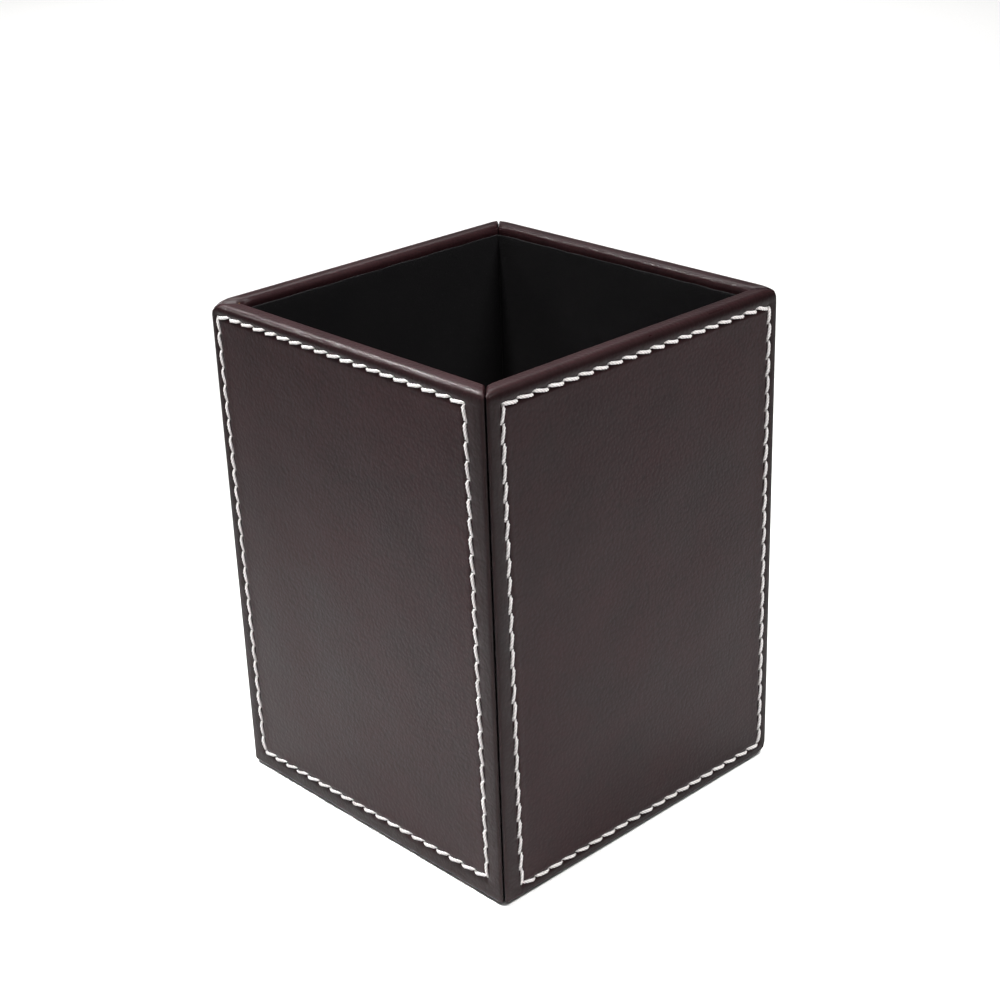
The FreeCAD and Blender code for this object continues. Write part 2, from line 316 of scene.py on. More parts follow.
def nearest_in_outline(points, outline):
    """The nearest point inside a convex outline, for each point, in plan."""
    inside = np.ones(len(points), bool)
    best = np.full(len(points), np.inf)
    nearest = points.copy()
    for start, end in zip(outline, np.roll(outline, -1, axis=0)):
        run = end - start
        inside &= run[0] * (points[:, 1] - start[1]) - run[1] * (points[:, 0] - start[0]) >= 0
        share = np.clip((points - start) @ run / (run @ run), 0, 1)
        candidate = start + share[:, None] * run
        distance = np.linalg.norm(points - candidate, axis=1)
        closer = distance < best
        best[closer] = distance[closer]
        nearest[closer] = candidate[closer]
    nearest[inside] = points[inside]
    return nearest


print("fold", round(FOLD_RADIUS / MM, 1), "mm, foot", round(FOOT_RADIUS / MM, 1), "mm, rim",
      round(RIM_RADIUS / MM, 1), "mm")

# %% [markdown]
# ### Pushing the points out
#
# In plan the block is a trapezium, because both its ends are mitred. Each point goes to the nearest place
# in the shrunk outline and then out by the radius, and the same is done in height.

# %% Round the block in plan and in height
def wrapped(x_share, depth, height, half, thickness, low, high, plan_radius, low_radius,
            high_radius, rim_reach):
    """Points and outward directions of the rounded, mitred block of a front wall.

    The top is rounded by high_radius in height and by rim_reach in depth.
    """
    plan = np.stack([x_share * (half - depth - SEAM_GAP), depth - half], axis=1)
    near_y, far_y = -half + plan_radius, -half + thickness - plan_radius
    cut = plan_radius * math.sqrt(2) + SEAM_GAP
    outline = np.array([(near_y + cut, near_y), (-near_y - cut, near_y),
                        (-far_y - cut, far_y), (far_y + cut, far_y)])
    core = nearest_in_outline(plan, outline)
    end_radius = np.where(height < (low + high) / 2, low_radius, high_radius)
    core_z = np.clip(height, low + low_radius, high - high_radius)
    away = plan - core
    reach = np.linalg.norm(away, axis=1)
    away = away / np.maximum(reach, 1e-12)[:, None]
    sideways, upward = reach / plan_radius, (height - core_z) / end_radius
    length = np.maximum(np.hypot(sideways, upward), 1e-12)
    sideways, upward = sideways / length, upward / length
    plan = core + away * (sideways * plan_radius)[:, None]
    over_top = np.where(height > (low + high) / 2, upward, 0)
    squeeze = (rim_reach - plan_radius) * (1 - np.sqrt(1 - over_top ** 2)) / (thickness / 2)
    middle = -half + thickness / 2
    new_y = middle + (plan[:, 1] - middle) * (1 - squeeze)
    plan = np.column_stack([plan[:, 0] * new_y / plan[:, 1], new_y])
    points = np.column_stack([plan, core_z + upward * end_radius])
    turn_in = np.where(over_top > 0, rim_reach, plan_radius)
    out = np.column_stack([away * (sideways / turn_in)[:, None], upward / end_radius])
    return points, out / np.maximum(np.linalg.norm(out, axis=1), 1e-12)[:, None]


cover_x = ACROSS[COVER_LINES[:, 0]]
cover_depth = INWARD[COVER_LINES[:, 1]]
cover_z = UP[COVER_LINES[:, 2]]
cover_points, cover_out = wrapped(cover_x / HALF, cover_depth, cover_z, HALF, RIM_DEPTH, FOOT, RIM,
                                  FOLD_RADIUS, FOOT_RADIUS, RIM_RADIUS, RIM_REACH)
print("rounded cover: y from", round(cover_points[:, 1].min() / MM, 2), "to",
      round(cover_points[:, 1].max() / MM, 2), "mm")

# %% [markdown]
# ## The leather sheet: relief
#
# Sewing draws leather in. The thread lies in a shallow channel, the needle leaves a dimple at each
# end of a stitch, and the leather between two dimples puckers up. Outside the seam the margin
# stands slightly proud, like piping, and inside it the padded panel rises gently to the middle. All of
# these are heights that depend only on how far a point is from the seam and from a needle hole.

# %% Distances from the seam and the holes
def smooth(value):
    """0 below 0, 1 above 1, and a smooth step between."""
    value = np.clip(value, 0, 1)
    return value * value * (3 - 2 * value)


def seam_distance(x, z):
    """Distance outwards from the seam's rectangle, negative inside it."""
    over_x = np.abs(x) - ROW_HALF
    over_z = np.abs(z - (ROW_LOW + ROW_HIGH) / 2) - (ROW_HIGH - ROW_LOW) / 2
    outside = np.hypot(np.maximum(over_x, 0), np.maximum(over_z, 0))
    return np.where((over_x < 0) & (over_z < 0), np.maximum(over_x, over_z), outside)


def hole_distance(x, z):
    """Distance to the nearest needle hole."""
    across = np.linspace(-ROW_HALF, ROW_HALF, STITCHES_ACROSS + 1)
    up = np.linspace(ROW_LOW, ROW_HIGH, STITCHES_UP + 1)
    to_across = np.abs(x[:, None] - across).min(axis=1)
    to_up = np.abs(z[:, None] - up).min(axis=1)
    to_row = np.minimum(np.abs(z - ROW_LOW), np.abs(z - ROW_HIGH))
    to_column = np.abs(np.abs(x) - ROW_HALF)
    return np.minimum(np.hypot(to_across, to_row), np.hypot(to_up, to_column))


def bump_at(value, width):
    return np.exp(-(value / width) ** 2)


HOLE_TO_FOOT = hole_distance(np.array([0.0]), np.array([FOOT]))[0]
print("nearest hole to the middle of the foot:", round(HOLE_TO_FOOT / MM, 2), "mm")

# %% [markdown]
# ### The heights of the relief
#
# The slow unevenness is a sum of four sine waves in directions drawn at random, with the wall's own
# seed, because no two walls are alike by hand.

# %% Relief of a sewn wall
CHANNEL_DEPTH = 0.22 * MM
CHANNEL_WIDTH = 0.62 * MM
DIMPLE_DEPTH = 0.32 * MM
DIMPLE_WIDTH = 0.33 * MM
PUCKER_HEIGHT = 0.07 * MM
PUCKER_FROM_SEAM = 1.0 * MM
PUCKER_WIDTH = 0.5 * MM
PUCKER_FROM_HOLE = 1.4 * MM
MARGIN_HEIGHT = 0.06 * MM
CROWN_HEIGHT = 0.1 * MM
CROWN_REACH = 9 * MM
EDGE_REACH = 3 * MM
UNEVENNESS = 0.05 * MM
WAVELENGTHS = (60, 34, 21, 13)
FIRST_SEED = 10


def unevenness(wall, x, z):
    """A slow random waviness, its seed taken from the wall."""
    random = np.random.default_rng(FIRST_SEED + WALLS[wall])
    total = np.zeros(len(x))
    for wavelength in WAVELENGTHS:
        angle, phase = random.uniform(0, 2 * math.pi, 2)
        along = x * math.cos(angle) + z * math.sin(angle)
        wave = np.sin(along * 2 * math.pi / (wavelength * MM) + phase)
        total += wave * wavelength / WAVELENGTHS[0]
    return total * UNEVENNESS


def sewn_relief(wall, x, z):
    """How far the front face stands out from the flat, at each point."""
    seam = seam_distance(x, z)
    hole = hole_distance(x, z)
    edge = np.minimum(HALF - np.abs(x), np.minimum(RIM - z, z - FOOT))
    margin = np.clip(seam / (seam + np.maximum(edge, 1e-9)), 0, 1)
    relief = -CHANNEL_DEPTH * bump_at(seam, CHANNEL_WIDTH)
    relief -= DIMPLE_DEPTH * bump_at(hole, DIMPLE_WIDTH)
    beside = bump_at(np.abs(seam) - PUCKER_FROM_SEAM, PUCKER_WIDTH)
    relief += PUCKER_HEIGHT * beside * smooth(hole / PUCKER_FROM_HOLE)
    relief += MARGIN_HEIGHT * np.sin(math.pi * margin) * (seam > 0)
    inner = smooth(-seam / CROWN_REACH)
    centre = (1 - (x / ROW_HALF) ** 2) * (1 - ((z - MIDDLE) / (ROW_HIGH - MIDDLE)) ** 2)
    relief += CROWN_HEIGHT * inner * (0.5 + 0.5 * np.clip(centre, 0, 1))
    return relief + unevenness(wall, x, z) * smooth(edge / EDGE_REACH)


sample = sewn_relief("front", cover_x, cover_z)
print("relief from", round(sample.min() / MM, 2), "to", round(sample.max() / MM, 2), "mm")

# %% [markdown]
# ### Straying seams and pressed corners
#
# A seam sewn by hand is not a true rectangle. Its corners stray by a millimetre or so, and the needle
# turns each corner a little short. The leather's own corners are gathered, glued and pressed in,
# which leaves small crimps. Both are moves of the same points that carry the relief.

# %% Sizes of the strays and presses
CORNER_REACH = 2.8 * MM
CORNER_PULL = 0.25 * MM
CORNER_PULL_REACH = 1.6 * MM
CRIMP_HEIGHT = 0.06 * MM
CRIMP_PITCH = 0.8 * MM
CRIMP_SLANT = 0.6
PRESS_SHARE_INWARDS = 0.4

# How far each seam's corners stray from true, in millimetres to the right and up as seen from
# outside: bottom left, bottom right, top right, top left.
STRAY = {
    "front": [(0.6, 0.5), (-0.5, 1.3), (-1.3, 0.2), (-1.5, 0.8)],
    "right": [(0.8, -0.7), (1.1, -0.6), (1.1, 0.0), (-0.1, 0.1)],
    "back": [(0.3, 0.2), (-0.5, 0.4), (-0.2, 0.3), (0.4, -0.1)],
    "left": [(-0.3, 0.5), (0.4, 0.1), (0.5, -0.3), (0.1, 0.2)],
}

# How far each wall's corners are pressed in, in millimetres, in the same order.
PRESSED = {
    "front": (0.12, 0.1, 0.1, 0.75),
    "right": (0.1, 0.8, 0.15, 0.1),
    "back": (0.8, 0.2, 0.1, 0.15),
    "left": (0.2, 0.12, 0.75, 0.1),
}
IN_MITRE = (COVER_LINES[:, 0] == 0) | (COVER_LINES[:, 0] == len(ACROSS) - 1)


print("corners that stray:", sum(len(corners) for corners in STRAY.values()))

# %% [markdown]
# ### Moving the points
#
# A point's stray is blended from the four corners of its seam, and fades out towards the wall's
# edges, so the fold stays straight. The mitre's own points aren't pressed inwards, because they would
# cross those of the next wall.

# %% Shape the cover of one wall
def straying(wall, x, z):
    """How far the sewing has pulled a point of the front wall sideways and up."""
    corners = np.array(STRAY[wall]) * MM
    right = (x / ROW_HALF + 1) / 2
    top = (z - ROW_LOW) / (ROW_HIGH - ROW_LOW)
    shares = [(1 - right) * (1 - top), right * (1 - top), right * top, (1 - right) * top]
    pull = sum(share[:, None] * corner for share, corner in zip(shares, corners))
    for side, end in ((-1, ROW_LOW), (1, ROW_LOW), (1, ROW_HIGH), (-1, ROW_HIGH)):
        near = bump_at(np.hypot(x - side * ROW_HALF, z - end), CORNER_PULL_REACH)
        pull += near[:, None] * CORNER_PULL * np.array([-side, np.sign(MIDDLE - end)])
    hold = smooth((HALF - np.abs(x)) / SIDE_MARGIN) * smooth((RIM - z) / END_MARGIN)
    return pull * (hold * smooth((z - FOOT) / END_MARGIN))[:, None]


def shaped_cover(wall):
    """The points of one wall's leather, still in the front wall's place."""
    points = cover_points.copy()
    face = (COVER_LINES[:, 1] == 0).astype(float)
    in_view = ~IN_MITRE
    points += cover_out * (sewn_relief(wall, cover_x, cover_z) * face)[:, None]
    points[:, (0, 2)] += straying(wall, cover_x, cover_z) * face[:, None]
    ends = [(-1, FOOT), (1, FOOT), (1, RIM), (-1, RIM)]
    for (side, end), press in zip(ends, PRESSED[wall]):
        to_end = np.abs(cover_z - end)
        to_side = HALF - side * cover_x
        nearby = smooth(1 - to_side / CORNER_REACH) * smooth(1 - to_end / CORNER_REACH)
        points[:, 2] += np.sign(MIDDLE - end) * press * MM * nearby
        points -= cover_out * (PRESS_SHARE_INWARDS * press * MM * nearby * in_view)[:, None]
        along = to_end + CRIMP_SLANT * cover_depth
        crimp = np.sin(2 * math.pi * along / CRIMP_PITCH + WALLS[wall])
        points += cover_out * (CRIMP_HEIGHT * crimp * nearby * in_view)[:, None]
    return points


strayed = straying("front", cover_x, cover_z)
print("the front seam strays by up to", round(np.abs(strayed).max() / MM, 2), "mm")

# %% [markdown]
# ## The leather sheet: thickness and attributes
#
# The points so far are the outside of the leather. A Solidify modifier gives the sheet its real
# thickness inwards, so its cut edges show under the rim. The three attributes that the material reads
# are written to the mesh here.

# %% Build the four covers
LEATHER_THICKNESS = 0.8 * MM
# Where the attributes fade: with a point's tilt, round a hole, down a mitre and across the seam.
FOLD_TILT = 0.25
HOLE_SHADE = 0.35 * MM
MITRE_START = 0.1 * MM
MITRE_SHADE = 0.4 * MM
MARGIN_FADE = 1.2 * MM


def placed(name, data):
    """A new object in the scene, for a mesh, a lamp or a camera."""
    thing = bpy.data.objects.new(name, data)
    bpy.context.scene.collection.objects.link(thing)
    return thing


def mesh_piece(name, points, faces, material, turn):
    """A smooth-shaded piece whose place is in its mesh."""
    mesh = bpy.data.meshes.new(name)
    mesh.from_pydata([turn @ Vector(point) for point in points], [], faces)
    mesh.shade_smooth()
    mesh.materials.append(material)
    return placed(name, mesh)


def set_attribute(mesh, name, values):
    attribute = mesh.attributes.new(name, "FLOAT", "POINT")
    attribute.data.foreach_set("value", np.asarray(values, np.float32))


tilt = np.abs(cover_out).max(axis=1)
fold_amount = smooth((1 - tilt) / FOLD_TILT)
on_front = COVER_LINES[:, 1] == 0
# Painted shade: near-black in every needle hole and down inside each mitre.
hole_and_mitre_shade = bump_at(hole_distance(cover_x, cover_z), HOLE_SHADE) * on_front
down_mitre = smooth((cover_depth - MITRE_START) / MITRE_SHADE)
hole_and_mitre_shade += down_mitre * IN_MITRE * smooth((RIM - cover_z) / MM)
# Painted shade on the margin outside the seam.
margin_shade = smooth(seam_distance(cover_x, cover_z) / MARGIN_FADE) * on_front

for wall in WALLS:
    cover = mesh_piece(wall + "_leather", shaped_cover(wall), COVER_FACES, LEATHER, turn_of(wall))
    set_attribute(cover.data, "fold", fold_amount)
    set_attribute(cover.data, "dark", hole_and_mitre_shade)
    set_attribute(cover.data, "margin", margin_shade)
    thickness = cover.modifiers.new("leather_thickness", "SOLIDIFY")
    thickness.thickness = LEATHER_THICKNESS
    thickness.offset = -1
    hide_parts(wall + "_leather_cover")
    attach(cover, "root")
print("covers:", [wall + "_leather" for wall in WALLS])

# %% [markdown]
# ## Thread
#
# The thread is waxed polyester, three plies twisted together. Close up, the plies show as slanting
# ropes of shadow. Each stitch's mesh carries the attribute "crease", which is 1 between two plies,
# so the material can paint shade there, slightly darker. Elsewhere it is an
# off-white with a fine fuzz of fibres.

# %% Material: waxed polyester thread
def thread_material():
    material, tree, shader, place = new_material("waxed_polyester_thread")
    crease = add(tree, "ShaderNodeAttribute", attribute_name="crease").outputs["Fac"]
    fibre = add(tree, "ShaderNodeTexNoise", {"Vector": place, "Scale": 1 / (0.12 * MM), "Detail": 3.0})
    dirt = add(tree, "ShaderNodeTexNoise", {"Vector": place, "Scale": 1 / (9 * MM), "Detail": 2.0})
    clean = add(tree, "ShaderNodeMix", {"Factor": dirt.outputs["Fac"], "A": colour("#e2dddb"),
                                        "B": colour("#faf7f6")}, data_type="RGBA").outputs["Result"]
    # Painted shade: the crease between two plies is mixed towards grey.
    shade = add(tree, "ShaderNodeMath", {0: crease, 1: 0.6}, operation="MULTIPLY")
    crease_shaded = add(tree, "ShaderNodeMix", {"Factor": shade, "A": clean,
                                        "B": colour("#8a8180")}, data_type="RGBA")
    bump = add(tree, "ShaderNodeBump", {"Strength": 0.5, "Distance": 0.03 * MM,
                                        "Height": fibre.outputs["Fac"]})
    feed(tree, shader, {"Base Color": crease_shaded.outputs["Result"], "Normal": bump, "Roughness": 0.6,
                        "Sheen Weight": 0.15})
    return material


THREAD_MATERIAL = thread_material()
print("material:", THREAD_MATERIAL.name)

# %% [markdown]
# ## Stitches with Geometry Nodes
#
# Nearly a hundred stitches run round each wall, all alike but for a little chance. That is work for
# Geometry Nodes. The input is a plain ring of points, one per needle hole. The tree makes one
# stitch (a short line, arched so that its ends dive into the leather, given a three-lobed
# section and twisted), and lays a copy on every edge of the ring, turned to face out of the leather
# and leaning from its row by a few degrees. Its sizes are named inputs, so each wall can lean its own way.

# %% The inputs of the stitch tree
PLIES = 3
SECTION_POINTS = 9
STITCH_POINTS = 7
STITCH_INPUTS = {
    "Thread Diameter": "Float", "Stitch Length": "Float", "Rise": "Float", "Fill": "Float",
    "Lean": "Float", "Lean Chance": "Float", "Twists": "Float", "Outward": "Vector",
    "Seed": "Int", "Material": "Material",
}


def empty_stitch_tree():
    tree = bpy.data.node_groups.new("sewn_stitches", "GeometryNodeTree")
    tree.interface.new_socket("Geometry", in_out="INPUT", socket_type="NodeSocketGeometry")
    for name, kind in STITCH_INPUTS.items():
        tree.interface.new_socket(name, in_out="INPUT", socket_type="NodeSocket" + kind)
    tree.interface.new_socket("Geometry", in_out="OUTPUT", socket_type="NodeSocketGeometry")
    return tree, add(tree, "NodeGroupInput").outputs


STITCH_TREE, GIVEN = empty_stitch_tree()
print("stitch tree inputs:", list(STITCH_INPUTS))

# %% [markdown]
# ### The line of one stitch
#
# A stitch starts as a short straight line along X. Its ends are lowered by the fourth power of the
# distance from its middle, so it lies flat and then dives. The same distance, squared, thins it
# towards its ends, and a tilt that grows along it twists the plies.

# %% One stitch: its line, arch, taper and twist
# A stitch's thickness, as a share of the thread's: in its middle, and how much less at its ends.
MIDDLE_SHARE = 1.16
END_LOSS = 0.62


def stitch_line(tree):
    length, rise = GIVEN["Stitch Length"], GIVEN["Rise"]
    half_length = add(tree, "ShaderNodeMath", {0: length, 1: 0.5}, operation="MULTIPLY")
    back_end = add(tree, "ShaderNodeMath", {0: length, 1: -0.5}, operation="MULTIPLY")
    start = add(tree, "ShaderNodeCombineXYZ", {"X": back_end})
    end = add(tree, "ShaderNodeCombineXYZ", {"X": half_length})
    line = add(tree, "GeometryNodeCurvePrimitiveLine",
               {"Start": start, "End": end})
    points = add(tree, "GeometryNodeResampleCurve", {"Curve": line, "Count": STITCH_POINTS})
    factor = add(tree, "GeometryNodeSplineParameter").outputs["Factor"]
    signed = add(tree, "ShaderNodeMath", {0: factor, 1: 2.0, 2: -1.0}, operation="MULTIPLY_ADD")
    square = add(tree, "ShaderNodeMath", {0: signed, 1: signed},
                 operation="MULTIPLY")
    fourth = add(tree, "ShaderNodeMath", {0: square, 1: square},
                 operation="MULTIPLY")
    sink = add(tree, "ShaderNodeMath", {0: fourth, 1: rise}, operation="MULTIPLY")
    arch = add(tree, "ShaderNodeMath", {0: 0.0, 1: sink}, operation="SUBTRACT")
    lift = add(tree, "ShaderNodeCombineXYZ", {"Z": arch})
    arched = add(tree, "GeometryNodeSetPosition",
                 {"Geometry": points, "Offset": lift})
    taper = add(tree, "ShaderNodeMath", {0: square, 1: -END_LOSS, 2: MIDDLE_SHARE},
                operation="MULTIPLY_ADD")
    sized = add(tree, "GeometryNodeSetCurveRadius",
                {"Curve": arched, "Radius": taper})
    turns = add(tree, "ShaderNodeMath", {0: GIVEN["Twists"], 1: 2 * math.pi}, operation="MULTIPLY")
    tilt_by = add(tree, "ShaderNodeMath", {0: factor, 1: turns}, operation="MULTIPLY")
    twisted = add(tree, "GeometryNodeSetCurveTilt",
                  {"Curve": sized, "Tilt": tilt_by})
    return twisted


STITCH_LINE = stitch_line(STITCH_TREE)
print("after the line:", len(STITCH_TREE.nodes), "nodes")

# %% [markdown]
# ### The section of one stitch
#
# The section is a circle whose radius swells once for each ply. Where it is narrow, between two
# plies, the attribute "crease" is 1, and the thread's material paints shade there. Curve to Mesh
# draws the section along the line.

# %% One stitch: its three-lobed section
# The lobed radius, as a share of the thread's: its mean, and how far it swings either way.
MEAN_SHARE = 0.93
LOBE_SWING = 0.13


def one_stitch(tree, line):
    radius = add(tree, "ShaderNodeMath", {0: GIVEN["Thread Diameter"], 1: 0.5}, operation="MULTIPLY")
    circle = add(tree, "GeometryNodeCurvePrimitiveCircle",
                 {"Resolution": SECTION_POINTS, "Radius": radius})
    round_factor = add(tree, "GeometryNodeSplineParameter").outputs["Factor"]
    angle = add(tree, "ShaderNodeMath", {0: round_factor, 1: 2 * math.pi * PLIES},
                operation="MULTIPLY")
    wave = add(tree, "ShaderNodeMath", {0: angle}, operation="COSINE")
    swell = add(tree, "ShaderNodeMath", {0: wave, 1: LOBE_SWING, 2: MEAN_SHARE},
                operation="MULTIPLY_ADD")
    where = add(tree, "GeometryNodeInputPosition").outputs[0]
    lobed_place = add(tree, "ShaderNodeVectorMath", {0: where, "Scale": swell},
                      operation="SCALE")
    lobed = add(tree, "GeometryNodeSetPosition",
                {"Geometry": circle, "Position": lobed_place})
    hollow = add(tree, "ShaderNodeMath", {0: wave, 1: -0.5, 2: 0.5},
                 operation="MULTIPLY_ADD")
    marked = add(tree, "GeometryNodeStoreNamedAttribute",
                 {"Geometry": lobed, "Name": "crease", "Value": hollow},
                 data_type="FLOAT", domain="POINT")
    tube = add(tree, "GeometryNodeCurveToMesh",
               {"Curve": line, "Profile Curve": marked, "Fill Caps": True})
    return tube


STITCH = one_stitch(STITCH_TREE, STITCH_LINE)
print("after the section:", len(STITCH_TREE.nodes), "nodes")

# %% [markdown]
# ### How each stitch is turned
#
# Every edge of the ring becomes a point that remembers which way its edge runs. A stitch is turned
# first so that its X axis follows the edge, then so that its Z axis faces out of the leather, and
# last by the lean of its row, with a little chance of its own.

# %% The spots and their turns
def spots_and_runs(tree):
    ends = add(tree, "GeometryNodeInputMeshEdgeVertices")
    run = add(tree, "ShaderNodeVectorMath",
              {0: ends.outputs["Position 2"], 1: ends.outputs["Position 1"]}, operation="SUBTRACT")
    kept = tree.nodes.new("GeometryNodeCaptureAttribute")
    kept.domain = "EDGE"
    kept.capture_items.new("VECTOR", "Run")
    feed(tree, kept, {"Geometry": GIVEN["Geometry"], "Run": run})
    spots = add(tree, "GeometryNodeMeshToPoints", {"Mesh": kept.outputs["Geometry"]}, mode="EDGES")
    return spots, kept.outputs["Run"]


def stitch_turn(tree, run):
    facing = add(tree, "FunctionNodeAlignRotationToVector", {"Vector": run}, axis="X")
    outward = add(tree, "FunctionNodeAlignRotationToVector",
                  {"Rotation": facing, "Vector": GIVEN["Outward"]}, axis="Z",
                  pivot_axis="X")
    chance = add(tree, "FunctionNodeRandomValue", {2: -1.0, 3: 1.0, "Seed": GIVEN["Seed"]},
                 data_type="FLOAT")
    wobble = add(tree, "ShaderNodeMath", {0: chance.outputs[1], 1: GIVEN["Lean Chance"],
                                          2: GIVEN["Lean"]}, operation="MULTIPLY_ADD")
    leaning = add(tree, "FunctionNodeAxisAngleToRotation",
                  {"Axis": (0.0, 0.0, 1.0), "Angle": wobble})
    turned = add(tree, "FunctionNodeRotateRotation",
                 {"Rotation": outward, "Rotate By": leaning},
                 rotation_space="LOCAL")
    return turned


SPOTS, RUN = spots_and_runs(STITCH_TREE)
TURN = stitch_turn(STITCH_TREE, RUN)
print("after the turns:", len(STITCH_TREE.nodes), "nodes")

# %% [markdown]
# ### Laying the stitches
#
# Each stitch is stretched to fill most of its edge, and made a little thicker or thinner by chance.
# The tree ends in Realize Instances and Set Material, so that what leaves it is one plain mesh.

# %% Lay, realize and give the material
# The least and most that chance scales a stitch's thickness by.
THINNEST, THICKEST = 0.92, 1.08


def finish_stitches(tree, stitch, spots, run, turn):
    other_seed = add(tree, "ShaderNodeMath", {0: GIVEN["Seed"], 1: 7.0}, operation="ADD")
    plump = add(tree, "FunctionNodeRandomValue",
                {2: THINNEST, 3: THICKEST, "Seed": other_seed}, data_type="FLOAT")
    run_length = add(tree, "ShaderNodeVectorMath", {0: run}, operation="LENGTH")
    fitted = add(tree, "ShaderNodeMath", {0: run_length.outputs["Value"], 1: GIVEN["Stitch Length"]},
                 operation="DIVIDE")
    stretch = add(tree, "ShaderNodeMath", {0: fitted, 1: GIVEN["Fill"]},
                  operation="MULTIPLY")
    scale = add(tree, "ShaderNodeCombineXYZ", {"X": stretch, "Y": plump.outputs[1],
                                               "Z": plump.outputs[1]})
    laid = add(tree, "GeometryNodeInstanceOnPoints",
               {"Points": spots, "Instance": stitch, "Rotation": turn, "Scale": scale})
    real = add(tree, "GeometryNodeRealizeInstances", {"Geometry": laid})
    finish = add(tree, "GeometryNodeSetMaterial",
                 {"Geometry": real, "Material": GIVEN["Material"]})
    add(tree, "NodeGroupOutput", {"Geometry": finish})


finish_stitches(STITCH_TREE, STITCH, SPOTS, RUN, TURN)
print("stitch tree:", len(STITCH_TREE.nodes), "nodes")

# %% [markdown]
# ## Sewing each wall
#
# The ring of needle holes follows the same stray rectangle as the leather's channel. The front
# and back lean one way and the two sides the other, as when neighbouring pieces are sewn in opposite
# directions. A modifier's input is set by its socket's identifier, and once the tree has run, its
# result is copied to a plain mesh.

# %% Needle holes
LEANS = {"front": 1, "right": -1, "back": 1, "left": -1}
THREAD_LIFT = 0.05 * MM


def needle_holes():
    """The holes of a true rectangle, once round from the bottom left."""
    corners = [(-ROW_HALF, ROW_LOW), (ROW_HALF, ROW_LOW), (ROW_HALF, ROW_HIGH), (-ROW_HALF, ROW_HIGH)]
    counts = [STITCHES_ACROSS, STITCHES_UP] * 2
    holes = []
    for start, end, count in zip(corners, corners[1:] + corners[:1], counts):
        for number in range(count):
            share = number / count
            holes.append([start[axis] + (end[axis] - start[axis]) * share for axis in (0, 1)])
    return np.array(holes)


print("needle holes in a wall:", len(needle_holes()))

# %% [markdown]
# ### Running the tree
#
# The ring rides through the modifier once for each wall, with that wall's lean and seed.

# %% Sew each wall
def stitches_on(wall):
    holes = needle_holes()
    holes = holes + straying(wall, holes[:, 0], holes[:, 1])
    ring = bpy.data.meshes.new(wall + "_needle_holes")
    turn = turn_of(wall)
    ring.from_pydata([turn @ Vector((x, -HALF - THREAD_LIFT, z)) for x, z in holes],
                     [(i, (i + 1) % len(holes)) for i in range(len(holes))], [])
    sewing = placed(wall + "_sewing", ring)
    modifier = sewing.modifiers.new("stitches", "NODES")
    modifier.node_group = STITCH_TREE
    sizes = {
        "Thread Diameter": THREAD,
        "Stitch Length": (ROW_HIGH - ROW_LOW) / STITCHES_UP,
        "Rise": 0.45 * MM,
        "Fill": 0.97,
        "Lean": LEANS[wall] * math.radians(11),
        "Lean Chance": math.radians(2.5),
        "Twists": 1.6,
        "Outward": turn @ Vector((0, -1, 0)),
        "Seed": WALLS[wall],
        "Material": THREAD_MATERIAL,
    }
    for socket in STITCH_TREE.interface.items_tree:
        if socket.name in sizes:
            modifier[socket.identifier] = sizes[socket.name]
    graph = bpy.context.evaluated_depsgraph_get()
    mesh = bpy.data.meshes.new_from_object(sewing.evaluated_get(graph), depsgraph=graph)
    mesh.name = wall + "_thread"
    mesh.shade_smooth()
    bpy.data.objects.remove(sewing)
    return placed(wall + "_thread", mesh)


for wall in WALLS:
    thread = stitches_on(wall)
    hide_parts(wall + "_stitching")
    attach(thread, "root")
    print(thread.name, len(thread.data.polygons), "faces")

# %% [markdown]
# ## Velvet
#
# The lining is black flocked velvet: short upright fibres on a thin cloth. It swallows light head
# on and catches a faint grey rim at a slant, which is the shader's sheen. Strokes of a hand leave the
# pile lying this way and that, and the soft patches this shows are painted into the colour as painted
# sheen.

# %% Material: flocked velvet
def velvet_material():
    material, tree, shader, place = new_material("black_flocked_velvet")
    pile = add(tree, "ShaderNodeTexNoise",
               {"Vector": place, "Scale": 1 / (0.3 * MM), "Detail": 3.0, "Roughness": 0.7})
    # Painted sheen: soft lighter patches where the pile lies another way.
    pile_sheen_patches = add(tree, "ShaderNodeTexNoise", {"Vector": place, "Scale": 1 / (14 * MM), "Detail": 3.0})
    patch = add(tree, "ShaderNodeMix", {"Factor": pile_sheen_patches.outputs["Fac"], "A": colour("#08080a"),
                                        "B": colour("#181617")}, data_type="RGBA").outputs["Result"]
    fleck = add(tree, "ShaderNodeMix", {"Factor": pile.outputs["Fac"], "A": patch,
                                        "B": colour("#070708")}, data_type="RGBA")
    bump = add(tree, "ShaderNodeBump", {"Strength": 0.8, "Distance": 0.2 * MM,
                                        "Height": pile.outputs["Fac"]})
    feed(tree, shader, {"Base Color": fleck.outputs["Result"], "Normal": bump, "Roughness": 0.95,
                        "Specular IOR Level": 0.15, "Sheen Weight": 0.25, "Sheen Roughness": 0.4,
                        "Sheen Tint": colour("#6a6668")})
    return material


VELVET = velvet_material()
print("material:", VELVET.name)

# %% [markdown]
# ## Lining the well
#
# Each wall's velvet is a thin mitred sheet, so the wrapped block that shaped the leather can shape it
# too, with its own sizes read from the frame. A little waviness shows that it is cloth, glued by hand.

# %% Line the walls
WAVE = 0.12 * MM
WAVE_SHARE = 0.3
LINING_SPACING = 2 * MM
LINING_FOLD = 0.4
RAGGED_REACH = 2 * MM
RAGGED_WAVES = (5, 3)


def even_lines(low, high, spacing, fold):
    """Lines at an even spacing, with three close together at each end."""
    count = max(2, round((high - low) / spacing))
    inner = np.linspace(low + fold, high - fold, count)
    ends = np.array([0, 0.3, 0.6]) * fold
    return np.concatenate([low + ends, inner, high - ends[::-1]])


